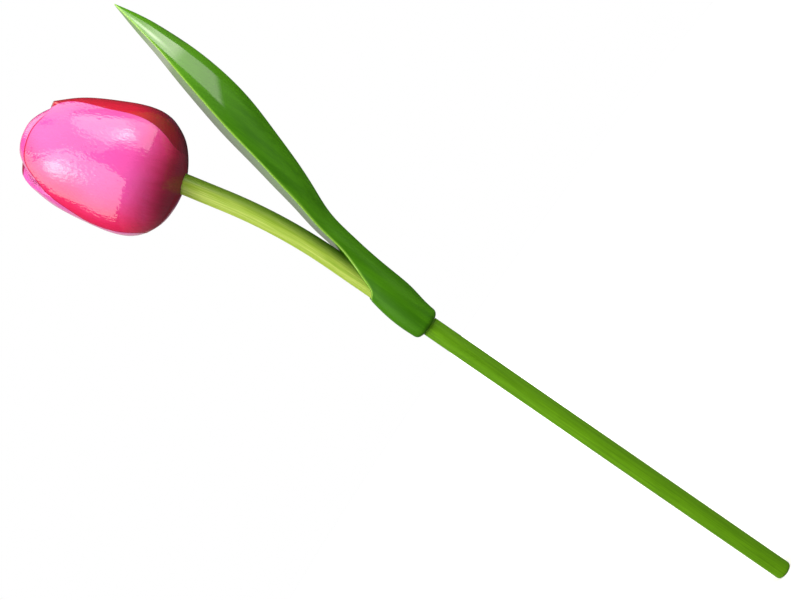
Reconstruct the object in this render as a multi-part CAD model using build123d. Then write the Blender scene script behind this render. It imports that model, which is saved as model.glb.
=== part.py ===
from build123d import *
import math
import os

# A carved and painted wooden tulip: a turned flower head on a bent green stem, and a straight
# stem below it. Both stems end in the bored sheath of a carved leaf. All of it is glued.
#
# Frame: +Z runs up the straight lower stem, and the origin is the centre of its sawn foot.
# The stem bends towards -X, the leaf stands out to +X, and -Y is the show side.
# Lengths are millimetres, angles are degrees.

# Driving dimensions of the lower stem
lower_stem_diameter = 8.0
lower_stem_showing = 182.0
foot_rounding = 1.0
tenon_diameter = 7.2
tenon_showing = 0.7

# Driving dimensions of the upper stem
upper_stem_diameter = 8.4
straight_above_sheath = 16.5
bend_radius = 195.0
bend_angle = 14.2
bend_turned_back = 29.0
straight_below_head = 16.8

# Driving dimensions of the leaf with its sheath
sheath_length = 30.0
sheath_diameter = 14.0
sheath_edge_rounding = 2.2
stem_depth_in_sheath = 15.0
leaf_length = 172.0
leaf_width = 25.0
leaf_depth = 16.3
leaf_reach = 33.0
leaf_turn = 5.0
leaf_tip_thickness = 0.7

# Driving dimensions of the flower head
head_diameter = 51.4
head_height = 66.8
head_lean_aside = 18.4
head_lean_back = 9.0
head_turn = 2.0
head_bore_depth = 20.0
head_bore_offset = 0.4
head_bore_chamfer = 0.5
petal_step = 0.6

# The film of glue round the tenon in the sheath, and round the upper stem in both its bores
glue_film = 0.05

# One overrun for every cut that has to pass through a surface
overrun = 5.0

# Sizes worked out from the ones above
bore_diameter = upper_stem_diameter + 2 * glue_film
sheath_bottom = lower_stem_showing
stem_butt_height = sheath_bottom + stem_depth_in_sheath
bend_start_height = sheath_bottom + sheath_length + straight_above_sheath

# Outline of the sheath and the neck above it: height as a share of sheath_length, then the
# middle and the two half widths (across X, across Y) as shares of sheath_diameter
sheath_shares = [
    (0.00, -0.015, 0.468, 0.482),
    (0.20, 0.000, 0.502, 0.512),
    (0.47, 0.072, 0.552, 0.540),
    (0.73, 0.146, 0.540, 0.550),
    (1.00, 0.228, 0.502, 0.555),
    (1.27, 0.300, 0.493, 0.565),
    (1.53, 0.372, 0.500, 0.585),
]

# Blade outline: height above the sheath as a share of the blade's length, the place of the
# flat face as a share of leaf_reach, the depth behind it as a share of leaf_depth, and the
# half width as a share of leaf_width
blade_shares = [
    (0.197, 0.186, 0.520, 0.360),
    (0.278, 0.268, 0.648, 0.410),
    (0.359, 0.341, 0.785, 0.458),
    (0.444, 0.418, 0.885, 0.488),
    (0.549, 0.506, 1.000, 0.500),
    (0.659, 0.622, 0.948, 0.488),
    (0.768, 0.750, 0.748, 0.435),
    (0.845, 0.842, 0.540, 0.352),
    (0.901, 0.898, 0.388, 0.270),
    (0.951, 0.950, 0.212, 0.168),
]

# Mouth of the sheath, where the saw cut starts: places across X as shares of
# sheath_diameter, heights as shares of sheath_length
mouth_shares = [
    (-0.330, 0.836),
    (-0.180, 0.903),
    (-0.090, 0.993),
    (0.000, 1.115),
    (0.095, 1.240),
    (0.200, 1.380),
    (0.295, 1.530),
]

# Turned outside of the outer petals: radius as a share of half the head's diameter, height
# as a share of head_height
petal_profile_shares = [
    (0.318, 0.022),
    (0.532, 0.050),
    (0.703, 0.087),
    (0.837, 0.137),
    (0.941, 0.198),
    (0.987, 0.257),
    (1.000, 0.309),
    (0.995, 0.385),
    (0.966, 0.476),
    (0.922, 0.585),
    (0.845, 0.714),
    (0.736, 0.820),
    (0.644, 0.898),
    (0.557, 0.973),
    (0.511, 1.013),
]

# Turned outside of each closed inner petal, in the same shares
inner_profile_shares = [
    (0.886, 0.300),
    (0.900, 0.400),
    (0.866, 0.530),
    (0.802, 0.650),
    (0.716, 0.750),
    (0.620, 0.830),
    (0.502, 0.895),
    (0.354, 0.950),
    (0.187, 0.988),
]

# Outline of the front petal, seen from the front: places across as shares of half the
# head's diameter, heights as shares of head_height, from the foot up the right side
front_petal_shares = [
    (0.380, -0.020),
    (0.490, 0.078),
    (0.592, 0.126),
    (0.671, 0.172),
    (0.739, 0.228),
    (0.783, 0.307),
    (0.789, 0.395),
    (0.772, 0.480),
    (0.765, 0.582),
    (0.745, 0.709),
    (0.690, 0.782),
    (0.600, 0.829),
    (0.471, 0.849),
    (0.340, 0.874),
    (0.205, 0.897),
    (0.059, 0.910),
    (-0.095, 0.914),
    (-0.259, 0.909),
    (-0.400, 0.885),
    (-0.504, 0.841),
    (-0.600, 0.792),
    (-0.690, 0.744),
    (-0.785, 0.670),
    (-0.879, 0.565),
    (-0.955, 0.462),
    (-0.978, 0.370),
    (-0.969, 0.273),
    (-0.920, 0.190),
    (-0.830, 0.110),
    (-0.600, 0.020),
    (-0.400, -0.020),
]

# Outline of a side petal from its foot to beside its tip, seen square on, in the same
# shares. It is wide low down, where it runs under its neighbours.
side_petal_shares = [
    (0.400, -0.020),
    (0.740, 0.051),
    (0.915, 0.152),
    (0.955, 0.284),
    (0.935, 0.426),
    (0.870, 0.568),
    (0.770, 0.699),
    (0.650, 0.794),
    (0.430, 0.868),
]

# Each side petal: its turn about the head from the front petal, its tip's height as a share
# of head_height, and how many steps it stands out from the turned outside
side_petals = [
    (-121.0, 0.985, 0.4),
    (111.0, 0.897, 0.3),
]
front_petal_level = 1.4

# The heart under the outer petals is one step behind the lowest of them, up to this share
# of head_height
heart_level = -1.5
heart_height_share = 0.75

# The closed inner petals show between the tips of the outer ones. Each is turned a little
# off the head's middle, which leaves a seam beside its neighbour.
inner_petal_turns = [85.0, 205.0, 325.0]
inner_petal_offset = 1.2


def scaled(points, across, up):
    """Outline points in real sizes, from shares of a size across and a size up."""
    return [(x * across, z * up) for x, z in points]


def lower_stem():
    """Straight dowel, rounded at the foot, with a thinner tenon that goes into the sheath."""
    shoulder_height = lower_stem_showing - tenon_showing
    dowel = extrude(Circle(lower_stem_diameter / 2), shoulder_height)
    foot_edge = dowel.edges().group_by(Axis.Z)[0]
    tenon_length = tenon_showing + stem_depth_in_sheath
    tenon = Pos(0, 0, shoulder_height) * extrude(Circle(tenon_diameter / 2), tenon_length)
    return fillet(foot_edge, foot_rounding) + tenon


def stem_line():
    """Centre line of the upper stem, drawn bending towards +X and turned to its real side."""
    start = Vector(0, 0, stem_butt_height)
    bend_start = Vector(0, 0, bend_start_height)
    angle = math.radians(bend_angle)
    bend_middle = bend_start + Vector(
        bend_radius * (1 - math.cos(angle / 2)), 0, bend_radius * math.sin(angle / 2)
    )
    bend_end = bend_start + Vector(
        bend_radius * (1 - math.cos(angle)), 0, bend_radius * math.sin(angle)
    )
    along = Vector(math.sin(angle), 0, math.cos(angle))
    head_seat = bend_end + along * straight_below_head
    end = head_seat + along * head_bore_depth
    turn = Rot(Z=180 - bend_turned_back)
    line = Wire([
        Edge.make_line(start, bend_start),
        Edge.make_three_point_arc(bend_start, bend_middle, bend_end),
        Edge.make_line(bend_end, end),
    ])
    seat = (turn * Pos(head_seat)).position
    tip = (turn * Pos(end)).position
    return turn * line, seat, (tip - seat).normalized()


def upper_stem(line):
    """Bent rod from the middle of the sheath to the bottom of the head's bore."""
    section = Pos(0, 0, stem_butt_height) * Circle(upper_stem_diameter / 2)
    return sweep(section, line)


def oval(across, deep):
    """Oval of two half widths. A stretched circle starts on +X whichever width is larger."""
    return scale(Circle(1), by=(across, deep, 1))


def leaf_sections():
    """Ovals that the leaf blank follows, from the sheath's bottom to the leaf's tip."""
    sections = []
    for height, middle, across, deep in sheath_shares:
        place = Pos(middle * sheath_diameter, 0, sheath_bottom + height * sheath_length)
        sections.append(place * oval(across * sheath_diameter, deep * sheath_diameter))
    blade_bottom = sheath_bottom + sheath_length
    blade_length = leaf_length - sheath_length
    for height, face, depth, width in blade_shares:
        place = Pos(face * leaf_reach, 0, blade_bottom + height * blade_length)
        sections.append(place * oval(depth * leaf_depth, width * leaf_width))
    tip = Pos(leaf_reach, 0, sheath_bottom + leaf_length)
    sections.append(tip * oval(leaf_tip_thickness / 2, leaf_tip_thickness / 2))
    return sections


def saw_cut():
    """The wood that the saw takes off the stem's side of the blank, up its whole length."""
    blade_bottom = sheath_bottom + sheath_length
    blade_length = leaf_length - sheath_length
    mouth = [
        (x, sheath_bottom + z) for x, z in scaled(mouth_shares, sheath_diameter, sheath_length)
    ]
    flat_face = [
        (face * leaf_reach, blade_bottom + height * blade_length)
        for height, face, depth, width in blade_shares
    ]
    tip = (leaf_reach, sheath_bottom + leaf_length)
    over_tip = (leaf_reach + overrun, sheath_bottom + leaf_length + overrun)
    outside = -sheath_diameter - overrun
    cut_start = (-sheath_diameter / 2 - overrun, mouth[0][1] - overrun)
    with BuildSketch(Plane.XZ) as waste:
        with BuildLine():
            Spline([cut_start] + mouth + flat_face + [tip])
            Polyline([
                tip,
                over_tip,
                (outside, over_tip[1]),
                (outside, cut_start[1]),
                cut_start,
            ])
        make_face()
    return extrude(waste.sketch, leaf_width, both=True)


def leaf():
    """Leaf and sheath carved from one blank: lofted, sawn flat on the stem's side, drilled."""
    blank = loft(leaf_sections())
    bottom_edge = blank.edges().group_by(Axis.Z)[0]
    blank = fillet(bottom_edge, sheath_edge_rounding)
    sawn = blank - saw_cut()
    tenon_bore = Pos(0, 0, sheath_bottom - overrun) * extrude(
        Circle(tenon_diameter / 2 + glue_film), overrun + stem_depth_in_sheath
    )
    stem_bore = Pos(0, 0, stem_butt_height) * extrude(
        Circle(bore_diameter / 2), leaf_length + overrun
    )
    return Rot(Z=leaf_turn) * (sawn - tenon_bore - stem_bore)


def turned_body(level):
    """The turned outside of the outer petals as a solid, level steps proud of its size."""
    radius = head_diameter / 2 + level * petal_step
    points = scaled(petal_profile_shares, radius, head_height)
    with BuildSketch(Plane.XZ) as half:
        with BuildLine():
            Spline([(0, 0)] + points)
            Polyline([points[-1], (0, points[-1][1]), (0, 0)])
        make_face()
    return revolve(half.sketch, Axis.Z)


def heart():
    """The wood under the outer petals, which shows only where their edges part."""
    top = heart_height_share * head_height
    keep = extrude(Circle(head_diameter), top + overrun)
    return turned_body(heart_level) & Pos(0, 0, -overrun) * keep


def inner_petals():
    """Three closed petals that lean together and make the dome at the head's top."""
    radius = head_diameter / 2 - inner_petal_offset
    points = scaled(inner_profile_shares, radius, head_height)
    with BuildSketch(Plane.XZ) as half:
        with BuildLine():
            Spline(points + [(0, head_height)], tangents=[(0, 1), (-1, 0)])
            Polyline([(0, head_height), (0, points[0][1]), points[0]])
        make_face()
    one = revolve(half.sketch, Axis.Z)
    dome = Part()
    for turn in inner_petal_turns:
        dome += Rot(Z=turn) * Pos(0, -inner_petal_offset, 0) * one
    return dome


def petal(outline, level):
    """A petal facing -Y: the turned outside, level steps proud, within an outline."""
    with BuildSketch(Plane.XZ.offset(petal_step)) as face:
        with BuildLine():
            Spline(outline)
            Line(outline[-1], outline[0])
        make_face()
    return turned_body(level) & extrude(face.sketch, head_diameter)


def front_petal():
    """The front petal, which lies over both side petals."""
    outline = scaled(front_petal_shares, head_diameter / 2, head_height)
    return petal(outline, front_petal_level)


def side_petal(turn, tip_height, level):
    """A side petal, the same both sides of its middle, turned to its place on the head."""
    right = scaled(side_petal_shares, head_diameter / 2, head_height)
    left = [(-x, z) for x, z in reversed(right)]
    outline = right + [(0, tip_height * head_height)] + left
    return Rot(Z=turn) * petal(outline, level)


def head_frame(seat):
    """Where the head sits: leaning aside and back, its bore a little off its own middle."""
    aside = math.radians(head_lean_aside)
    back = math.radians(head_lean_back)
    across = Vector(math.cos(aside), 0, math.sin(aside))
    up = Vector(
        -math.sin(aside) * math.cos(back), math.sin(back), math.cos(aside) * math.cos(back)
    )
    return Plane(origin=seat - across * head_bore_offset, x_dir=across, z_dir=up)


def head_bore(seat, stem_direction):
    """The blind hole for the upper stem, drilled along the stem, with a chamfered mouth."""
    radius = bore_diameter / 2
    hole = Pos(0, 0, -overrun) * extrude(Circle(radius), overrun + head_bore_depth)
    chamfer_length = overrun + head_bore_chamfer
    mouth = Pos(0, 0, -overrun / 2 + head_bore_chamfer / 2) * Cone(
        radius + chamfer_length, radius, chamfer_length
    )
    return Plane(origin=seat, z_dir=stem_direction).location * (hole + mouth)


def flower_head(seat, stem_direction):
    """One block of wood: closed inner petals, three outer petals, and a blind bore below."""
    head = heart() + inner_petals() + front_petal()
    for turn, tip_height, level in side_petals:
        head += side_petal(turn, tip_height, level)
    head = head_frame(seat).location * Rot(Z=head_turn) * head
    return head - head_bore(seat, stem_direction)


os.makedirs("parts", exist_ok=True)
line, seat, stem_direction = stem_line()
nodes = {
    "lower_stem": lower_stem(),
    "upper_stem": upper_stem(line),
    "leaf": leaf(),
    "flower_head": flower_head(seat, stem_direction),
}
for name, shape in nodes.items():
    export_step(shape, f"parts/{name}.step")
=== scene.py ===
import math

import bmesh
import bpy
import numpy as np
from mathutils import Matrix, Quaternion, Vector


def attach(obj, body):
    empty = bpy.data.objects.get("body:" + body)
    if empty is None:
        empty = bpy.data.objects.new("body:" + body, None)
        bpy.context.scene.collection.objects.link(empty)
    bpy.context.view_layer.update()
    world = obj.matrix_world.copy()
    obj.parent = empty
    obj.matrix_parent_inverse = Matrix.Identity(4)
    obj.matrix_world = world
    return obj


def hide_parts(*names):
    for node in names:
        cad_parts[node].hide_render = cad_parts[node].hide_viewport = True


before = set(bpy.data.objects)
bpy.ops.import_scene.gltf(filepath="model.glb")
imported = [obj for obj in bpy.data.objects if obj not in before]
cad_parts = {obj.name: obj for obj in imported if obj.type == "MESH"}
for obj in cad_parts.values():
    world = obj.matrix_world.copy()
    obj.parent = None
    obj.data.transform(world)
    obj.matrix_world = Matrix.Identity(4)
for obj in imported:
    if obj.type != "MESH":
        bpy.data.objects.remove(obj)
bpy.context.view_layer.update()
scene = bpy.context.scene
scene.view_settings.view_transform = "Standard"


# The camera stands at the show side, a little above the sheath, and is rolled over, so that
# the stem runs from the lower right of the picture to the flower at its upper left.
camera_target = Vector((0.00183, 0, 0.1973))
camera_distance = 0.620
camera_elevation = math.radians(8)
camera_roll = math.radians(55.34)
camera_lens = 70.1
camera_sensor_width = 36
camera_nearest = 0.01
camera_farthest = 20

camera = bpy.data.objects.new("camera", bpy.data.cameras.new("camera"))
scene.collection.objects.link(camera)
scene.camera = camera
camera.data.lens = camera_lens
camera.data.sensor_width = camera_sensor_width
camera.data.clip_start = camera_nearest
camera.data.clip_end = camera_farthest
view_back = Vector((0, -math.cos(camera_elevation), math.sin(camera_elevation)))
view_up = Vector((0, math.sin(camera_elevation), math.cos(camera_elevation)))
view_right = Vector((1, 0, 0))
picture_right = math.cos(camera_roll) * view_right - math.sin(camera_roll) * view_up
picture_up = math.sin(camera_roll) * view_right + math.cos(camera_roll) * view_up
turned = Matrix((picture_right, picture_up, view_back)).transposed().to_4x4()
camera.matrix_world = Matrix.Translation(camera_target + camera_distance * view_back) @ turned


# The tulip stands on a plain white table in a white room. Both look white to the camera and
# give back little light, so that the wood keeps its shading. The table is so bright that no
# shadow shows on it.
table_radius = 0.9
table_sides = 96
table_seen = 0.90
table_bounce = 0.13
table_lift = 0.25
table_rim_lift = 1.0
near_reach = 0.25
rim_reach = table_radius / 2
room_light = 0.16
room_mirrored = 0.04


def add_node(tree, kind, inputs=(), **settings):
    """A new node. Its inputs are set to values, or joined to other nodes' outputs."""
    node = tree.nodes.new(kind)
    for name, value in settings.items():
        setattr(node, name, value)
    for key, value in dict(inputs).items():
        if isinstance(value, bpy.types.NodeSocket):
            tree.links.new(value, node.inputs[key])
        else:
            node.inputs[key].default_value = value
    return node


def maths(tree, operation, first, second=0.0):
    """The outcome of one sum."""
    return add_node(tree, "ShaderNodeMath", {0: first, 1: second}, operation=operation).outputs[0]


def new_material(name):
    """An empty material and its output node."""
    material = bpy.data.materials.new(name)
    material.use_nodes = True
    material.node_tree.nodes.clear()
    return material, material.node_tree, material.node_tree.nodes.new("ShaderNodeOutputMaterial")


def seen_rays(tree, path):
    """One for rays from the camera or through something clear, and nought for the rest."""
    return maths(
        tree, "MAXIMUM", path.outputs["Is Camera Ray"], path.outputs["Is Transmission Ray"]
    )


bm = bmesh.new()
bmesh.ops.create_circle(bm, cap_ends=True, segments=table_sides, radius=table_radius)
table_mesh = bpy.data.meshes.new("table")
bm.to_mesh(table_mesh)
bm.free()
table = bpy.data.objects.new("table", table_mesh)
scene.collection.objects.link(table)
material, tree, output = new_material("white_table")
seen = seen_rays(tree, tree.nodes.new("ShaderNodeLightPath"))
shown = maths(tree, "MULTIPLY_ADD", seen, table_seen - table_bounce)
shown.node.inputs[2].default_value = table_bounce
grey = add_node(tree, "ShaderNodeCombineColor", {0: shown, 1: shown, 2: shown})
paint = add_node(tree, "ShaderNodeBsdfDiffuse", {"Color": grey.outputs[0]})
spot = tree.nodes.new("ShaderNodeTexCoord").outputs["Object"]
away = add_node(tree, "ShaderNodeVectorMath", {0: spot}, operation="LENGTH").outputs["Value"]
raised = add_node(
    tree,
    "ShaderNodeMapRange",
    {"Value": away, 1: near_reach, 2: rim_reach, 3: table_lift, 4: table_rim_lift},
    interpolation_type="SMOOTHSTEP",
)
lift = add_node(
    tree, "ShaderNodeEmission", {"Strength": maths(tree, "MULTIPLY", seen, raised.outputs[0])}
)
both = add_node(tree, "ShaderNodeAddShader", {0: paint.outputs[0], 1: lift.outputs[0]})
tree.links.new(both.outputs[0], output.inputs[0])
table_mesh.materials.append(material)

room = bpy.data.worlds.new("white_room")
scene.world = room
room.use_nodes = True
tree = room.node_tree
tree.nodes.clear()
path = tree.nodes.new("ShaderNodeLightPath")
seen = seen_rays(tree, path)
mirrored = maths(tree, "MULTIPLY", path.outputs["Is Glossy Ray"], room_mirrored - room_light)
strength = maths(tree, "MAXIMUM", seen, maths(tree, "ADD", mirrored, room_light))
white = (1, 1, 1, 1)
background = add_node(tree, "ShaderNodeBackground", {"Color": white, "Strength": strength})
output = tree.nodes.new("ShaderNodeOutputWorld")
tree.links.new(background.outputs[0], output.inputs[0])


# Two large soft boxes light the flower from the left and the right, each brighter in one spot
# that shows on the varnish. A wide one hangs over both, and two smaller ones light the back.
bud_middle = Vector((-0.018, 0.010, 0.325))

# Each box: name, azimuth, elevation and roll in degrees, width, height, glow, glow of its
# bright spot, and where on the box that spot is.
soft_boxes = [
    ("left_box", -62, 19, 10, 1.66, 1.10, 2.1, 7.0, (0.53, 0.70)),
    ("right_box", 63, 21, 12, 0.98, 1.32, 1.9, 6.5, (0.38, 0.66)),
    ("top_box", 8, 62, 0, 2.30, 0.74, 1.25, 1.25, (0.5, 0.5)),
    ("back_left_box", -163, 3, 0, 0.50, 1.00, 0.55, 0.55, (0.5, 0.5)),
    ("back_box", 150, 60, 0, 0.90, 0.70, 1.3, 1.3, (0.5, 0.5)),
]
box_tint = (1.0, 0.985, 0.87, 1.0)
box_distance = 0.90
hot_core = 0.02
hot_edge = 0.24
for name, azimuth, elevation, roll, width, height, glow, hot_glow, hot_place in soft_boxes:
    azimuth = math.radians(azimuth)
    elevation = math.radians(elevation)
    towards = Vector((
        math.sin(azimuth) * math.cos(elevation),
        -math.cos(azimuth) * math.cos(elevation),
        math.sin(elevation),
    ))
    lamp = bpy.data.lights.new(name, "AREA")
    lamp.shape = "RECTANGLE"
    lamp.size = width
    lamp.size_y = height
    lamp.energy = math.pi * width * height
    lamp.use_nodes = True
    tree = lamp.node_tree
    tree.nodes.clear()
    place = tree.nodes.new("ShaderNodeNewGeometry").outputs["Parametric"]
    off_spot = add_node(
        tree, "ShaderNodeVectorMath", {0: place, 1: (*hot_place, 0)}, operation="DISTANCE"
    ).outputs["Value"]
    hot = add_node(
        tree,
        "ShaderNodeMapRange",
        {"Value": off_spot, 1: hot_core, 2: hot_edge, 3: hot_glow, 4: glow},
        interpolation_type="SMOOTHSTEP",
    )
    light = add_node(tree, "ShaderNodeEmission", {"Color": box_tint, "Strength": hot.outputs[0]})
    output = tree.nodes.new("ShaderNodeOutputLight")
    tree.links.new(light.outputs[0], output.inputs[0])
    box = bpy.data.objects.new(name, lamp)
    scene.collection.objects.link(box)
    box.location = bud_middle + box_distance * towards
    rolled = Quaternion((0, 0, 1), math.radians(roll))
    box.rotation_euler = (towards.to_track_quat("Z", "Y") @ rolled).to_euler()
    box.visible_camera = False


# The straight lower stem is an 8 mm dowel, stained green so that its grain shows. Its foot is
# sawn square and lightly rounded, and a thinner tenon at its top is glued into the leaf.
lower_radius = 0.004
lower_length = 0.1813
foot_rounding = 0.001
tenon_radius = 0.0036
tenon_top = 0.197
stem_sides = 72
stem_ring_gap = 0.0015
foot_segments = 5

bm = bmesh.new()
bmesh.ops.create_circle(bm, cap_ends=True, segments=stem_sides, radius=lower_radius)
rim = list(bm.edges)


def raise_ring(bm, rim, place):
    """Draws a ring of edges on to a new ring, and moves that by a matrix."""
    grown = bmesh.ops.extrude_edge_only(bm, edges=rim)["geom"]
    ring = [e for e in grown if isinstance(e, bmesh.types.BMEdge)]
    new_verts = [v for v in grown if isinstance(v, bmesh.types.BMVert)]
    bmesh.ops.transform(bm, matrix=place, verts=new_verts)
    held = set(new_verts)
    return [e for e in ring if e.verts[0] in held and e.verts[1] in held], new_verts


foot_edges = list(rim)
steps = round(lower_length / stem_ring_gap)
for step in range(steps):
    rim, _ = raise_ring(bm, rim, Matrix.Translation((0, 0, lower_length / steps)))
shrink = tenon_radius / lower_radius
rim, _ = raise_ring(bm, rim, Matrix.Diagonal((shrink, shrink, 1, 1)))
rim, _ = raise_ring(bm, rim, Matrix.Translation((0, 0, tenon_top - lower_length)))
bmesh.ops.contextual_create(bm, geom=rim)
bmesh.ops.bevel(
    bm, geom=foot_edges, offset=foot_rounding, offset_type="OFFSET",
    affect="EDGES", segments=foot_segments, profile=0.5, material=-1,
)
bmesh.ops.recalc_face_normals(bm, faces=bm.faces)


def finished_piece(bm, name, material, node, crease=35):
    """Makes a piece of a mesh: smooth but for its sharp edges, painted, and on its body."""
    mesh = bpy.data.meshes.new(name)
    bm.to_mesh(mesh)
    bm.free()
    mesh.shade_smooth()
    mesh.set_sharp_from_angle(angle=math.radians(crease))
    mesh.materials.append(material)
    piece = bpy.data.objects.new(name, mesh)
    scene.collection.objects.link(piece)
    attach(piece, "root")
    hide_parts(node)


def noise_at(tree, place, scale, detail=3.0, roughness=0.55, distortion=0.0):
    """Noise stretched by a scale for each axis, about nought to one."""
    stretched = add_node(tree, "ShaderNodeMapping", {"Vector": place, "Scale": scale})
    return add_node(
        tree,
        "ShaderNodeTexNoise",
        {
            "Vector": stretched.outputs[0], "Scale": 1.0, "Detail": detail,
            "Roughness": roughness, "Distortion": distortion,
        },
    ).outputs["Fac"]


def ramp(tree, value, low, high, bottom=0.0, top=1.0):
    """A smooth step from bottom to top as a value goes from low to high."""
    return add_node(
        tree,
        "ShaderNodeMapRange",
        {"Value": value, 1: low, 2: high, 3: bottom, 4: top},
        interpolation_type="SMOOTHSTEP",
    ).outputs[0]


def mixed(tree, factor, first, second):
    """Two colours mixed."""
    node = tree.nodes.new("ShaderNodeMix")
    node.data_type = "RGBA"
    for index, value in ((0, factor), (6, first), (7, second)):
        if isinstance(value, bpy.types.NodeSocket):
            tree.links.new(value, node.inputs[index])
        elif index:
            node.inputs[index].default_value = (*value, 1)
        else:
            node.inputs[index].default_value = value
    return node.outputs[2]


def bumped(tree, height, distance, strength=1.0, normal=None):
    """A surface raised by a height of nought to one times a distance."""
    inputs = {"Height": height, "Distance": distance, "Strength": strength}
    if normal is not None:
        inputs["Normal"] = normal
    return add_node(tree, "ShaderNodeBump", inputs).outputs[0]


rod_streaks = (1100, 1100, 18)
rod_fibres = (3000, 3000, 60)
rod_blotches = (90, 90, 45)
streak_depth = 0.00010
fibre_depth = 0.00006
stain_specular = 0.15
stain_gloss_roughness = 0.25


def stained_wood(name, gloss, shade, light, middle, dark, painted_shade_side):
    """Satin stain on a planed rod. The grain runs along the rod as fine streaks."""
    material, tree, output = new_material(name)
    place = add_node(
        tree, "ShaderNodeAttribute", attribute_name="straight_place"
    ).outputs["Vector"]
    broad = noise_at(tree, place, rod_streaks, detail=3, roughness=0.6, distortion=0.3)
    fine = noise_at(tree, place, rod_fibres, detail=4, roughness=0.65)
    blotch = noise_at(tree, place, rod_blotches, detail=2)
    colour = mixed(tree, ramp(tree, broad, 0.32, 0.66, bottom=0.1), dark, middle)
    colour = mixed(tree, ramp(tree, fine, 0.48, 0.72, top=0.75), colour, light)
    colour = mixed(tree, ramp(tree, fine, 0.46, 0.30, top=0.75), colour, dark)
    colour = mixed(tree, ramp(tree, blotch, 0.35, 0.75, top=0.22), colour, light)
    # Painted shade: the rod is painted darker towards its right side, where less light falls.
    aside = add_node(tree, "ShaderNodeAttribute", attribute_name="painted_shade_side").outputs["Fac"]
    colour = mixed(tree, ramp(tree, aside, -0.0015, 0.0042, top=shade), colour, painted_shade_side)
    rough = ramp(tree, fine, 0.3, 0.7, bottom=0.42, top=0.58)
    streaks = bumped(tree, broad, streak_depth, strength=0.5)
    relief = bumped(tree, fine, fibre_depth, strength=0.8, normal=streaks)
    wood = add_node(
        tree,
        "ShaderNodeBsdfPrincipled",
        {
            "Base Color": colour, "Roughness": rough, "Normal": relief,
            "Specular IOR Level": stain_specular,
            "Coat Weight": gloss, "Coat Roughness": stain_gloss_roughness,
        },
    )
    tree.links.new(wood.outputs[0], output.inputs[0])
    return material


def keep_straight_place(bm):
    """Notes each point's place on the rod while the rod is straight, for its grain."""
    layer = bm.verts.layers.float_vector.new("straight_place")
    # Each point's x, for the shade painted on the rod's right side.
    side_layer = bm.verts.layers.float.new("painted_shade_side")
    for vert in bm.verts:
        vert[layer] = vert.co
        vert[side_layer] = vert.co.x
    return side_layer


keep_straight_place(bm)
dark_stem_stain = stained_wood(
    "dark_stem_stain", gloss=0.03, shade=0.45,
    light=(0.185, 0.450, 0.007), middle=(0.130, 0.345, 0.004),
    dark=(0.092, 0.250, 0.003), painted_shade_side=(0.060, 0.170, 0.002),
)
finished_piece(bm, "lower_stem_dowel", dark_stem_stain, "lower_stem")


# The upper stem is a rod steamed and bent to one side and back, stained a lighter
# yellow-green. Its lower end stands on the tenon in the sheath, its upper end is in the head.
upper_radius = 0.0042
butt_height = 0.197
bend_start = 0.2285
bend_radius = 0.195
bend_angle = math.radians(14.2)
bend_side = math.radians(180 - 29.0)
straight_to_head = 0.0168
head_bore_depth = 0.020

bend_length = bend_radius * bend_angle
rod_length = bend_start - butt_height + bend_length + straight_to_head + head_bore_depth


def stem_frame(length):
    """The matrix that takes a ring from the straight rod's foot to its place on the bend."""
    before = min(length, bend_start - butt_height)
    bent = min(max(length - before, 0), bend_length)
    after = max(length - before - bent, 0)
    angle = bent / bend_radius
    centre = Vector((bend_radius, 0, butt_height + before))
    there = Matrix.Translation(centre)
    turn = there @ Matrix.Rotation(angle, 4, "Y") @ Matrix.Translation(-centre)
    rise = Matrix.Translation((0, 0, butt_height + before + after))
    return Matrix.Rotation(bend_side, 4, "Z") @ turn @ rise


bm = bmesh.new()
bmesh.ops.create_circle(bm, cap_ends=True, segments=stem_sides, radius=upper_radius)
rim = list(bm.edges)
steps = round(rod_length / stem_ring_gap)
for step in range(steps):
    rim, _ = raise_ring(bm, rim, Matrix.Translation((0, 0, rod_length / steps)))
bmesh.ops.contextual_create(bm, geom=rim)
bmesh.ops.recalc_face_normals(bm, faces=bm.faces)
side_layer = keep_straight_place(bm)
for vert in bm.verts:
    ring_frame = stem_frame(vert.co.z)
    ring_place = Vector((vert.co.x, vert.co.y, 0))
    vert.co = ring_frame @ ring_place
    vert[side_layer] = (ring_frame.to_3x3() @ ring_place).x
head_seat = stem_frame(rod_length - head_bore_depth) @ Vector((0, 0, 0))
stem_direction = (stem_frame(rod_length) @ Vector((0, 0, 0)) - head_seat).normalized()
light_stem_stain = stained_wood(
    "light_stem_stain", gloss=0.30, shade=0.8,
    light=(0.660, 0.750, 0.190), middle=(0.430, 0.590, 0.070),
    dark=(0.280, 0.450, 0.030), painted_shade_side=(0.080, 0.190, 0.006),
)
finished_piece(bm, "upper_stem_rod", light_stem_stain, "upper_stem")


# The leaf and its sheath are carved from one blank of wood, sawn flat on the stem's side up
# its whole length, bored for both stems, painted deep green and varnished.
sheath_bottom = 0.182
sheath_length = 0.030
sheath_diameter = 0.014
sheath_rounding = 0.0022
leaf_length = 0.172
leaf_width = 0.025
leaf_depth = 0.0163
leaf_reach = 0.033
leaf_turn = math.radians(5.0)
tip_radius = 0.00035
stem_bore_radius = 0.00425
tenon_bore_radius = 0.00365

# Ovals of the sheath: height as a share of sheath_length, then the middle and the two half
# widths as shares of sheath_diameter.
sheath_shares = [
    (0.00, -0.015, 0.468, 0.482), (0.20, 0.000, 0.502, 0.512), (0.47, 0.072, 0.552, 0.540),
    (0.73, 0.146, 0.540, 0.550), (1.00, 0.228, 0.502, 0.555), (1.27, 0.300, 0.493, 0.565),
    (1.53, 0.372, 0.500, 0.585),
]

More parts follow.
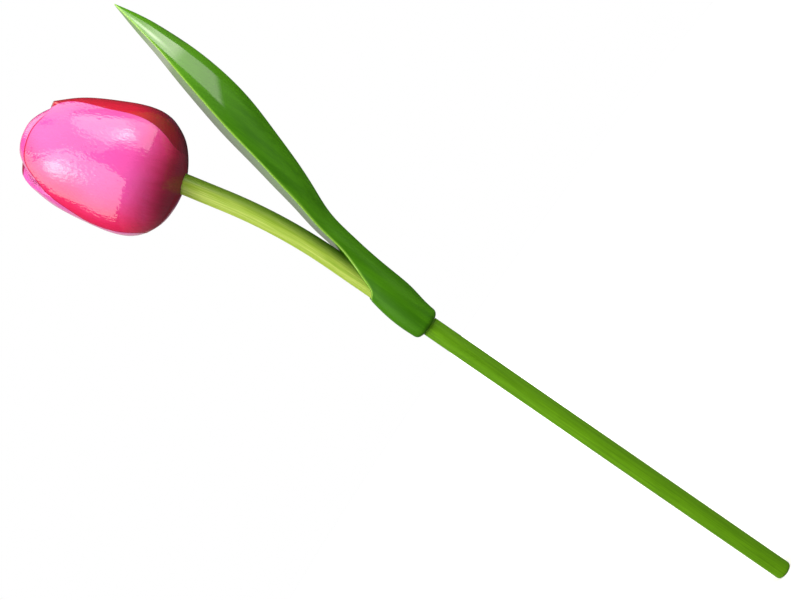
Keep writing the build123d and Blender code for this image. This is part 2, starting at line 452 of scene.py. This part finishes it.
# Ovals of the blade: height as a share of its length, the flat face as a share of leaf_reach,
# the depth behind it as a share of leaf_depth, and the half width as a share of leaf_width.
blade_shares = [
    (0.197, 0.186, 0.520, 0.360), (0.278, 0.268, 0.648, 0.410), (0.359, 0.341, 0.785, 0.458),
    (0.444, 0.418, 0.885, 0.488), (0.549, 0.506, 1.000, 0.500), (0.659, 0.622, 0.948, 0.488),
    (0.768, 0.750, 0.748, 0.435), (0.845, 0.842, 0.540, 0.352), (0.901, 0.898, 0.388, 0.270),
    (0.951, 0.950, 0.212, 0.168),
]

# Where the saw cut starts: places across as shares of sheath_diameter, heights as shares of
# sheath_length.
mouth_shares = [
    (-0.330, 0.836), (-0.180, 0.903), (-0.090, 0.993), (0.000, 1.115), (0.095, 1.240),
    (0.200, 1.380), (0.295, 1.530),
]
arc_points = 56
flat_points = 20
arris_rounding = 0.00025
arris_angle = math.radians(40)
mouth_height = 0.219
tip_left = 0.346
arris_highlight_band = 0.0008
arris_segments = 2
line_points = 600
saw_overrun = 0.005
leaf_ring_gap = 0.0010
rounding_turns = (0, 18, 36, 54, 72)
tip_rings_start = 0.004
tip_ring_drops = (0.0036, 0.0028, 0.0020, 0.0013, 0.0007, 0.0003, 0)
weld_distance = 0.00001
drill_sides = 96
drill_lead = 0.002


def smooth_line(points, count):
    """Many points on the smooth curve through a few, as along a bent batten."""
    knots = np.array(points, float)
    at = np.concatenate(([0], np.cumsum(np.linalg.norm(np.diff(knots, axis=0), axis=1))))
    gap = np.diff(at)[:, None]
    slope = np.diff(knots, axis=0) / gap
    system = np.eye(len(knots))
    right = np.zeros_like(knots)
    for i in range(1, len(knots) - 1):
        system[i, i - 1 : i + 2] = gap[i - 1, 0], 2 * (gap[i - 1, 0] + gap[i, 0]), gap[i, 0]
        right[i] = 6 * (slope[i] - slope[i - 1])
    bend = np.linalg.solve(system, right)
    spot = np.linspace(0, at[-1], count)
    i = np.clip(np.searchsorted(at, spot) - 1, 0, len(knots) - 2)
    along = (spot - at[i])[:, None]
    left = (at[i + 1] - spot)[:, None]
    span = gap[i]
    return (
        bend[i] * left**3 / (6 * span) + bend[i + 1] * along**3 / (6 * span)
        + (knots[i] / span - bend[i] * span / 6) * left
        + (knots[i + 1] / span - bend[i + 1] * span / 6) * along
    )


blade_bottom = sheath_bottom + sheath_length
blade_length = leaf_length - sheath_length
leaf_top = sheath_bottom + leaf_length
ovals = [
    (sheath_bottom + h * sheath_length, *(share * sheath_diameter for share in shares))
    for h, *shares in sheath_shares
]
ovals += [
    (blade_bottom + h * blade_length, f * leaf_reach, d * leaf_depth, w * leaf_width)
    for h, f, d, w in blade_shares
]
ovals += [(leaf_top, leaf_reach, tip_radius, tip_radius)]
oval_line = smooth_line(ovals, line_points)
mouth_bottom = sheath_bottom + mouth_shares[0][1] * sheath_length
cut = [(-sheath_diameter / 2 - saw_overrun, mouth_bottom - saw_overrun)]
cut += [(x * sheath_diameter, sheath_bottom + z * sheath_length) for x, z in mouth_shares]
cut += [(f * leaf_reach, blade_bottom + h * blade_length) for h, f, d, w in blade_shares]
cut += [(leaf_reach, leaf_top)]
cut_line = smooth_line(cut, line_points)

rounding = [sheath_rounding * (1 - math.cos(math.radians(a))) for a in rounding_turns]
heights = [sheath_bottom + r for r in rounding]
heights += list(
    np.arange(sheath_bottom + sheath_rounding, leaf_top - tip_rings_start, leaf_ring_gap)
)
heights += [leaf_top - drop for drop in tip_ring_drops]
bm = bmesh.new()
bmesh.ops.create_circle(
    bm, cap_ends=True, segments=arc_points + flat_points, radius=sheath_diameter / 2
)
rim = list(bm.edges)
ring = list(bm.verts)
arris_places = []
for number, height in enumerate(heights):
    if number:
        rim, ring = raise_ring(bm, rim, Matrix.Identity(4))
    middle, across, deep = (
        np.interp(height, oval_line[:, 0], oval_line[:, k]) for k in (1, 2, 3)
    )
    sunk = max(0, sheath_rounding - (height - sheath_bottom))
    pinch = sheath_rounding - math.sqrt(max(0, sheath_rounding**2 - sunk**2))
    across -= pinch
    deep -= pinch
    saw = np.interp(height, cut_line[:, 1], cut_line[:, 0])
    reach = math.acos(max(-1, min(1, (saw - middle) / across)))
    for i, vert in enumerate(ring):
        if i < arc_points:
            turn = reach * (2 * i / (arc_points - 1) - 1)
            vert.co = (middle + across * math.cos(turn), deep * math.sin(turn), height)
        else:
            part = 1 - 2 * (i - arc_points + 1) / (flat_points + 1)
            vert.co = (
                middle + across * math.cos(reach), part * deep * math.sin(reach), height
            )
    arris_places.append((height, saw, deep * math.sin(reach)))
bmesh.ops.contextual_create(bm, geom=rim)
bmesh.ops.remove_doubles(bm, verts=bm.verts, dist=weld_distance)
bmesh.ops.recalc_face_normals(bm, faces=bm.faces)
arris = [
    e for e in bm.edges
    if e.calc_face_angle(0) > arris_angle
    and mouth_height < min(v.co.z for v in e.verts) and max(v.co.z for v in e.verts) < tip_left
    and abs(e.verts[0].co.z - e.verts[1].co.z) > abs(e.verts[0].co.y - e.verts[1].co.y)
]
bmesh.ops.bevel(
    bm, geom=arris, offset=arris_rounding, offset_type="OFFSET",
    affect="EDGES", segments=arris_segments, profile=0.5, material=-1,
)
bmesh.ops.rotate(bm, verts=bm.verts, matrix=Matrix.Rotation(leaf_turn, 3, "Z"))
bmesh.ops.recalc_face_normals(bm, faces=bm.faces)
leaf_mesh = bpy.data.meshes.new("leaf_blank")
bm.to_mesh(leaf_mesh)
bm.free()
leaf_blank = bpy.data.objects.new("leaf_blank", leaf_mesh)
scene.collection.objects.link(leaf_blank)


def drilled(blank, radii, place):
    """The mesh of a blank after a drill of one or more radii has gone in along a line."""
    bit = bmesh.new()
    bmesh.ops.create_circle(bit, cap_ends=True, segments=drill_sides, radius=radii[0][0])
    rim = list(bit.edges)
    bmesh.ops.translate(bit, verts=bit.verts, vec=(0, 0, radii[0][1]))
    last = radii[0]
    for radius, height in radii[1:]:
        grow = radius / last[0]
        lift = Matrix.Translation((0, 0, height)) @ Matrix.Diagonal((grow, grow, 1, 1))
        rim, _ = raise_ring(bit, rim, lift @ Matrix.Translation((0, 0, -last[1])))
        last = (radius, height)
    bmesh.ops.contextual_create(bit, geom=rim)
    bmesh.ops.transform(bit, matrix=place, verts=bit.verts)
    bmesh.ops.recalc_face_normals(bit, faces=bit.faces)
    mesh = bpy.data.meshes.new("drill")
    bit.to_mesh(mesh)
    bit.free()
    drill = bpy.data.objects.new("drill", mesh)
    scene.collection.objects.link(drill)
    hole = blank.modifiers.new("hole", "BOOLEAN")
    hole.object = drill
    hole.solver = "EXACT"
    bpy.context.view_layer.update()
    bored = bmesh.new()
    bored.from_object(blank, bpy.context.evaluated_depsgraph_get())
    bpy.data.objects.remove(drill)
    bpy.data.objects.remove(blank)
    return bored


bm = drilled(
    leaf_blank,
    [
        (tenon_bore_radius, sheath_bottom - drill_lead), (tenon_bore_radius, tenon_top),
        (stem_bore_radius, tenon_top), (stem_bore_radius, leaf_top),
    ],
    Matrix.Identity(4),
)

# A narrow band along each arris is noted here, for a highlight painted there in paler green.
arris_highlight_layer = bm.verts.layers.float.new("arris_highlight_band")
sawn_layer = bm.verts.layers.float.new("sawn_face")
straighten = Matrix.Rotation(-leaf_turn, 3, "Z")
line_heights, line_places, line_widths = np.array(arris_places).T
for vert in bm.verts:
    x, y, z = straighten @ vert.co
    before_saw = x - np.interp(z, line_heights, line_places)
    off = math.hypot(before_saw, abs(y) - np.interp(z, line_heights, line_widths))
    vert[arris_highlight_layer] = max(0, 1 - off / arris_highlight_band)
    vert[sawn_layer] = z > mouth_height and abs(before_saw) < arris_rounding

leaf_dark = (0.037, 0.160, 0.0015)
leaf_green = (0.058, 0.220, 0.003)
leaf_fleck = (0.100, 0.330, 0.006)
painted_sheen_green = (0.110, 0.370, 0.007)
arris_highlight_green = (0.400, 0.740, 0.090)
painted_sheen_heights = (0.280, 0.330)
varnish_line = (0.2725, 0.2765)
thick_heights = (0.3195, 0.3260)
thin_heights = (0.3310, 0.3460)
leaf_grain_depth = 0.00004
coat_grain_depth = 0.000006
coat_wave_depth = 0.00014

material, tree, output = new_material("leaf_gloss")
place = tree.nodes.new("ShaderNodeTexCoord").outputs["Object"]
broad = noise_at(tree, place, (300, 300, 12), detail=3, roughness=0.6, distortion=0.3)
fine = noise_at(tree, place, (1500, 1500, 60), detail=4, roughness=0.6)
wave = noise_at(tree, place, (120, 120, 50), detail=2)
colour = mixed(tree, ramp(tree, broad, 0.30, 0.70), leaf_dark, leaf_green)
colour = mixed(tree, ramp(tree, fine, 0.45, 0.80, top=0.25), colour, leaf_fleck)
spot = add_node(tree, "ShaderNodeSeparateXYZ", {0: place})
up_leaf = spot.outputs[2]
# Painted sheen: the upper blade is painted a paler green where its varnish catches the lamps.
painted_sheen = ramp(tree, up_leaf, *painted_sheen_heights, top=0.75)
colour = mixed(tree, painted_sheen, colour, painted_sheen_green)
# Painted highlight: the arris is painted a paler green.
arris_highlight = add_node(tree, "ShaderNodeAttribute", attribute_name="arris_highlight_band").outputs["Fac"]
colour = mixed(tree, maths(tree, "MULTIPLY", arris_highlight, 0.95), colour, arris_highlight_green)
across_blade = maths(tree, "SUBTRACT", up_leaf, spot.outputs[0])
ragged = maths(tree, "ADD", across_blade, maths(tree, "MULTIPLY", fine, 0.002))
varnish = ramp(tree, ragged, *varnish_line)
thick = ramp(tree, up_leaf, *thick_heights, bottom=0.42)
thin_tip = ramp(tree, up_leaf, *thin_heights, bottom=1.0, top=0.35)
varnish = maths(tree, "MULTIPLY", varnish, maths(tree, "MULTIPLY", thick, thin_tip))
sawn = add_node(tree, "ShaderNodeAttribute", attribute_name="sawn_face").outputs["Fac"]
varnish = maths(tree, "MAXIMUM", varnish, maths(tree, "MULTIPLY", sawn, 0.5))
grain = bumped(tree, fine, leaf_grain_depth, strength=0.7)
coat_wave = bumped(tree, wave, coat_wave_depth, strength=0.8)
coat_relief = bumped(tree, fine, coat_grain_depth, strength=0.6, normal=coat_wave)
leaf_shader = add_node(
    tree,
    "ShaderNodeBsdfPrincipled",
    {
        "Base Color": colour, "Roughness": 0.40, "Specular IOR Level": 0.14, "Normal": grain,
        "Coat Weight": varnish, "Coat Roughness": 0.09, "Coat IOR": 2.45,
        "Coat Normal": coat_relief,
    },
)
tree.links.new(leaf_shader.outputs[0], output.inputs[0])
finished_piece(bm, "carved_leaf", material, "leaf")


# The flower head is turned from one block, then carved: three outer petals, the front one
# over the other two, and three inner ones closed in a dome. It is bored for the stem.
head_radius = 0.0257
head_height = 0.0668
lean_aside = math.radians(18.4)
lean_back = math.radians(9.0)
head_turn = math.radians(2.0)
bore_offset = 0.0004
bore_chamfer = 0.0005
petal_step = 0.0006
petal_edge = 0.0006
head_rows = 130
head_columns = 208
edge_bands = (0.0015, 0.0009)
profile_points = 400
outline_points = 150
foot_end = 0.002
lowest_rim = 0.0005
inner_bottom = 0.5 * head_height
heart_top = 0.75 * head_height
dome_start = 0.86 * head_height
crown_blend = 0.0015
petal_half_turn = math.radians(100)
far_off = 1.0
far_behind = -0.02
bare_left_edge = 0.030

# Turned profiles: radius as a share of half the head's width, height as a share of its height.
# The petals' outlines are in the same shares, seen square on.
outer_shares = [
    (0, 0), (0.318, 0.022), (0.532, 0.050), (0.703, 0.087), (0.837, 0.137), (0.941, 0.198),
    (0.987, 0.257), (1.000, 0.309), (0.995, 0.385), (0.966, 0.476), (0.922, 0.585),
    (0.845, 0.714), (0.736, 0.820), (0.644, 0.898), (0.557, 0.973), (0.511, 1.013),
]
inner_shares = [
    (0.886, 0.300), (0.900, 0.400), (0.866, 0.530), (0.802, 0.650), (0.716, 0.750),
    (0.620, 0.830), (0.502, 0.895), (0.354, 0.950), (0.187, 0.988), (0.080, 0.998), (0, 1.000),
]
front_petal_shares = [
    (0.380, -0.020), (0.490, 0.078), (0.592, 0.126), (0.671, 0.172), (0.739, 0.228),
    (0.783, 0.307), (0.789, 0.395), (0.772, 0.480), (0.765, 0.582), (0.745, 0.709),
    (0.690, 0.782), (0.600, 0.829), (0.471, 0.849), (0.340, 0.874), (0.205, 0.897),
    (0.059, 0.910), (-0.095, 0.914), (-0.259, 0.909), (-0.400, 0.885), (-0.504, 0.841),
    (-0.600, 0.792), (-0.690, 0.744), (-0.785, 0.670), (-0.879, 0.565), (-0.955, 0.462),
    (-0.978, 0.370), (-0.969, 0.273), (-0.920, 0.190), (-0.830, 0.110), (-0.600, 0.020),
    (-0.400, -0.020),
]
side_petal_shares = [
    (0.400, -0.020), (0.740, 0.051), (0.915, 0.152), (0.955, 0.284), (0.935, 0.426),
    (0.870, 0.568), (0.770, 0.699), (0.650, 0.794), (0.430, 0.868),
]
inner_petal_turns = [85.0, 205.0, 325.0]
inner_petal_offset = 0.0012
heart_level = -1.5
left_half = [(-x, z) for x, z in reversed(side_petal_shares)]

# Each petal: its turn about the head in degrees, how many steps it stands proud, its outline.
petals = [
    (-121.0, 0.4, side_petal_shares + [(0, 0.985)] + left_half),
    (111.0, 0.3, side_petal_shares + [(0, 0.897)] + left_half),
    (0.0, 1.4, front_petal_shares),
]

outer_line = smooth_line(outer_shares, profile_points) * (head_radius, head_height)
inner_radius = head_radius - inner_petal_offset
inner_line = smooth_line(inner_shares, profile_points) * (inner_radius, head_height)


def inside_by(across, height, outline):
    """How far points of a petal's rolled-out face are inside its outline, or minus outside."""
    closed = np.vstack([outline, outline[:1]])
    nearest = np.full(len(across), far_off)
    inside = np.zeros(len(across), bool)
    for (x0, z0), (x1, z1) in zip(closed[:-1], closed[1:]):
        dx, dz = x1 - x0, z1 - z0
        share = ((across - x0) * dx + (height - z0) * dz) / (dx * dx + dz * dz + 1e-15)
        share = np.clip(share, 0, 1)
        nearest = np.minimum(
            nearest, np.hypot(across - x0 - share * dx, height - z0 - share * dz)
        )
        crosses = (z0 > height) != (z1 > height)
        if dz:
            inside ^= crosses & (across < x0 + dx * (height - z0) / dz)
    return np.where(inside, nearest, -nearest)


def carve(x, y, z):
    """The carved radius over each point of the turned blank, and facts for its paint."""
    turn = np.arctan2(x, -y)
    turned = np.interp(z, outer_line[:, 1], outer_line[:, 0])
    outer = np.where(z < foot_end, np.hypot(x, y), turned)
    inner = np.interp(z, inner_line[:, 1], inner_line[:, 0])
    heart = outer * (1 + heart_level * petal_step / head_radius)
    lobes = []
    for lobe in inner_petal_turns:
        aside = inner_petal_offset * np.sin(turn - math.radians(lobe))
        lean = inner_petal_offset * np.cos(turn - math.radians(lobe))
        lobes.append(lean + np.sqrt(np.maximum(inner**2 - aside**2, 0)))
    lobes = np.sort(np.array(lobes), axis=0)
    rest = np.where(z > inner_bottom, lobes[2], 0)
    covered = np.minimum(1, np.maximum(0, (head_height - z) / crown_blend))
    inner_top = inner + (rest - inner) * covered
    radius = np.where(z > heart_top, inner_top, np.maximum(heart, rest))
    nearest = np.full(len(x), far_off)
    left_edge = np.full(len(x), bare_left_edge)
    number = np.zeros(len(x))
    shade = np.full(len(x), far_off)
    rolled = turn * head_radius
    for index, (petal_turn, level, shares) in enumerate(petals):
        grown = 1 + level * petal_step / head_radius
        away = (turn - math.radians(petal_turn) + math.pi) % (2 * math.pi) - math.pi
        outline = smooth_line(shares, outline_points) * (head_radius, head_height)
        low = np.clip(outline[:, 1], lowest_rim, head_height)
        rim = np.interp(low, outer_line[:, 1], outer_line[:, 0]) * grown
        outline[:, 0] = rim * np.arcsin(np.clip(outline[:, 0] / rim, -1, 1))
        mine = outer * grown
        rolled_mine = away * mine
        inside = inside_by(rolled_mine, z, outline)
        facing = np.abs(away) < petal_half_turn
        inside = np.where(facing, inside, far_behind)
        part = np.clip(inside / petal_edge, 0, 1)
        rise = np.sqrt(1 - (1 - part) ** 2)
        radius = np.where(inside > 0, radius + (mine - radius) * rise, radius)
        nearest = np.where(inside > 0, inside, np.minimum(nearest, -inside))
        shade = np.where(inside > 0, far_off, np.minimum(shade, -inside))
        top = outline[:, 1].argmax()
        side = outline[top:]
        order = side[:, 1].argsort()
        edge = np.interp(z, side[order, 1], side[order, 0])
        left_edge = np.where(inside > 0, rolled_mine - edge, left_edge)
        number = np.where(inside > 0, index + 1, number)
        rolled = np.where(inside > 0, rolled_mine, rolled)
    return radius, nearest, left_edge, number, shade, rolled


profile = [p for p in outer_line if p[1] < dome_start]
crown = [p for p in inner_line if p[1] > dome_start]
blank_line = np.array(profile + crown)
blank_line[0] = 0
along = np.concatenate(
    ([0], np.cumsum(np.linalg.norm(np.diff(blank_line, axis=0), axis=1)))
)
rows = np.linspace(0, along[-1], head_rows)
blank_points = [
    (np.interp(r, along, blank_line[:, 0]), np.interp(r, along, blank_line[:, 1])) for r in rows
]
bm = bmesh.new()
verts = [bm.verts.new((r, 0, z)) for r, z in blank_points]
edges = [bm.edges.new(pair) for pair in zip(verts[:-1], verts[1:])]
bmesh.ops.spin(
    bm, geom=verts + edges, cent=(0, 0, 0), axis=(0, 0, 1), angle=2 * math.pi,
    steps=head_columns, use_merge=True,
)
bmesh.ops.remove_doubles(bm, verts=bm.verts, dist=weld_distance)


def points_of(bm):
    """All the points of a mesh, as columns."""
    return np.array([v.co for v in bm.verts]).T


for band in edge_bands:
    x, y, z = points_of(bm)
    nearest = carve(x, y, z)[1]
    bm.verts.index_update()
    close = [
        e for e in bm.edges
        if nearest[e.verts[0].index] < band and nearest[e.verts[1].index] < band
    ]
    bmesh.ops.subdivide_edges(bm, edges=close, cuts=1, use_grid_fill=True)

x, y, z = points_of(bm)
radius, nearest, left_edge, number, shade, rolled = carve(x, y, z)
length = np.maximum(np.hypot(x, y), 1e-9)
place_layer = bm.verts.layers.float_vector.new("petal_place")
facts_layer = bm.verts.layers.float_vector.new("petal_facts")
for i, vert in enumerate(bm.verts):
    vert.co.x *= radius[i] / length[i]
    vert.co.y *= radius[i] / length[i]
    vert[place_layer] = (rolled[i], number[i], z[i])
    vert[facts_layer] = (left_edge[i], shade[i], nearest[i])

head_across = Vector((math.cos(lean_aside), 0, math.sin(lean_aside)))
head_up = Vector((
    -math.sin(lean_aside) * math.cos(lean_back), math.sin(lean_back),
    math.cos(lean_aside) * math.cos(lean_back),
))
head_deep = head_up.cross(head_across)
head_axes = Matrix((head_across, head_deep, head_up)).transposed().to_4x4()
head_frame = Matrix.Translation(head_seat - bore_offset * head_across) @ head_axes
bmesh.ops.transform(
    bm, matrix=head_frame @ Matrix.Rotation(head_turn, 4, "Z"), verts=bm.verts
)
bmesh.ops.recalc_face_normals(bm, faces=bm.faces)
head_mesh = bpy.data.meshes.new("head_blank")
bm.to_mesh(head_mesh)
bm.free()
head_blank = bpy.data.objects.new("head_blank", head_mesh)
scene.collection.objects.link(head_blank)
drill_start = -0.004
mouth_radius = stem_bore_radius + bore_chamfer - drill_start
drill_turn = stem_direction.to_track_quat("Z", "Y").to_matrix().to_4x4()
bm = drilled(
    head_blank,
    [
        (mouth_radius, drill_start), (stem_bore_radius, bore_chamfer),
        (stem_bore_radius, head_bore_depth),
    ],
    Matrix.Translation(head_seat) @ drill_turn,
)

magenta = (0.88, 0.088, 0.450)
left_pink = (0.95, 0.150, 0.600)
pale_pink = (0.92, 0.160, 0.500)
crimson = (0.86, 0.013, 0.115)
blood_red = (0.67, 0.006, 0.040)
right_base_shade_red = (0.33, 0.002, 0.034)
base_shade_red = (0.30, 0.012, 0.058)
crease_shade_red = (0.30, 0.010, 0.055)
rim_red_and_shade = (0.42, 0.006, 0.050)
tip_red = (0.28, 0.006, 0.020)
left_tip_heights = (0.0632, 0.0638)
right_tip_heights = (0.0575, 0.0585)
right_petal_shift = 0.014
stroke_reach = 0.0035
swell_depth = 0.0004
ripple_depth = 0.00018
peel_depth = 0.000105

material, tree, output = new_material("petal_gloss")
place = add_node(tree, "ShaderNodeAttribute", attribute_name="petal_place").outputs["Vector"]
facts = add_node(tree, "ShaderNodeAttribute", attribute_name="petal_facts").outputs["Vector"]
split = add_node(tree, "ShaderNodeSeparateXYZ", {0: facts})
lefts, shades, edges_near = split.outputs
parts = add_node(tree, "ShaderNodeSeparateXYZ", {0: place})
height = parts.outputs[2]
petal_number = parts.outputs[1]
strokes = noise_at(tree, place, (260, 60, 60), detail=3, roughness=0.6, distortion=0.5)
patches = noise_at(tree, place, (120, 60, 45), detail=2, roughness=0.5)
wobble = maths(tree, "MULTIPLY", maths(tree, "SUBTRACT", strokes, 0.5), stroke_reach)
side_edge = maths(tree, "ADD", lefts, wobble)
right_petal = ramp(tree, petal_number, 1.4, 1.6)
front_petal = ramp(tree, petal_number, 2.4, 2.6)
is_left = maths(tree, "SUBTRACT", ramp(tree, petal_number, 0.4, 0.6), right_petal)
is_right = maths(tree, "SUBTRACT", right_petal, front_petal)
shift = maths(tree, "MULTIPLY", is_right, right_petal_shift)
side_edge = maths(tree, "SUBTRACT", side_edge, shift)
side_edge = maths(tree, "ADD", side_edge, ramp(tree, height, 0.032, 0.058, top=0.0075))
side = ramp(tree, side_edge, 0.0030, 0.0265)
# Painted shade: towards the base the pink fades into red, the right petal darkens and the lowest
# band turns deep red.
base_shade_edge = maths(tree, "ADD", height, wobble)
base_shade_fade = ramp(tree, base_shade_edge, 0.0015, 0.0190)
pinkness = maths(tree, "MULTIPLY", side, base_shade_fade)
right_red = mixed(tree, ramp(tree, base_shade_edge, 0.0260, 0.0120), blood_red, right_base_shade_red)
margin = mixed(tree, is_right, crimson, right_red)
colour = mixed(tree, pinkness, margin, magenta)
colour = mixed(tree, ramp(tree, base_shade_edge, 0.0110, 0.0015, top=0.88), colour, base_shade_red)
colour = mixed(tree, maths(tree, "MULTIPLY", is_left, 0.8), colour, left_pink)
pale = maths(tree, "MULTIPLY", ramp(tree, patches, 0.35, 0.75, top=0.14), pinkness)
colour = mixed(tree, pale, colour, pale_pink)
# Painted shade: a thin dark red band just outside where one petal lies over another.
painted_crease_shade = ramp(tree, shades, 0.0008, 0.0001, top=0.75)
painted_crease_shade = maths(tree, "MULTIPLY", painted_crease_shade, maths(tree, "SUBTRACT", 1.0, is_left))
colour = mixed(tree, painted_crease_shade, colour, crease_shade_red)
# The front petal's left and top rim is painted dark red, partly as paint and partly as shade on
# that edge, and its varnish is left off there.
painted_side = ramp(tree, parts.outputs[0], 0.0130, 0.0080)
painted_side = maths(tree, "MULTIPLY", painted_side, front_petal)
rim_line = ramp(tree, edges_near, 0.0013, 0.0008, top=0.85)
rim_red_and_shade_mask = maths(tree, "MULTIPLY", rim_line, painted_side)
colour = mixed(tree, rim_red_and_shade_mask, colour, rim_red_and_shade)
left_tip = maths(tree, "MULTIPLY", ramp(tree, height, *left_tip_heights), is_left)
right_tip = maths(tree, "MULTIPLY", ramp(tree, height, *right_tip_heights), is_right)
tips = maths(tree, "MULTIPLY", maths(tree, "ADD", left_tip, right_tip), 0.85)
colour = mixed(tree, tips, colour, tip_red)
bare_rim = maths(tree, "SUBTRACT", 1.0, rim_red_and_shade_mask)
varnish = maths(tree, "MULTIPLY", bare_rim, ramp(tree, height, 0.0020, 0.0130, bottom=0.30))
ripple = noise_at(tree, place, (330, 60, 130), detail=2, roughness=0.5, distortion=0.2)
swell = noise_at(tree, place, (110, 60, 60), detail=2, roughness=0.5)
peel = noise_at(tree, place, (980, 60, 560), detail=1, roughness=0.5)
relief = bumped(tree, ripple, ripple_depth, strength=0.9)
relief = bumped(tree, swell, swell_depth, strength=0.6, normal=relief)
relief = bumped(tree, peel, peel_depth, strength=1.0, normal=relief)
petal_shader = add_node(
    tree,
    "ShaderNodeBsdfPrincipled",
    {
        "Base Color": colour, "Roughness": 0.45, "Specular IOR Level": 0.12, "Normal": relief,
        "Coat Weight": varnish, "Coat Roughness": 0.05, "Coat IOR": 1.68, "Coat Normal": relief,
    },
)
tree.links.new(petal_shader.outputs[0], output.inputs[0])
finished_piece(bm, "carved_flower_head", material, "flower_head", crease=60)
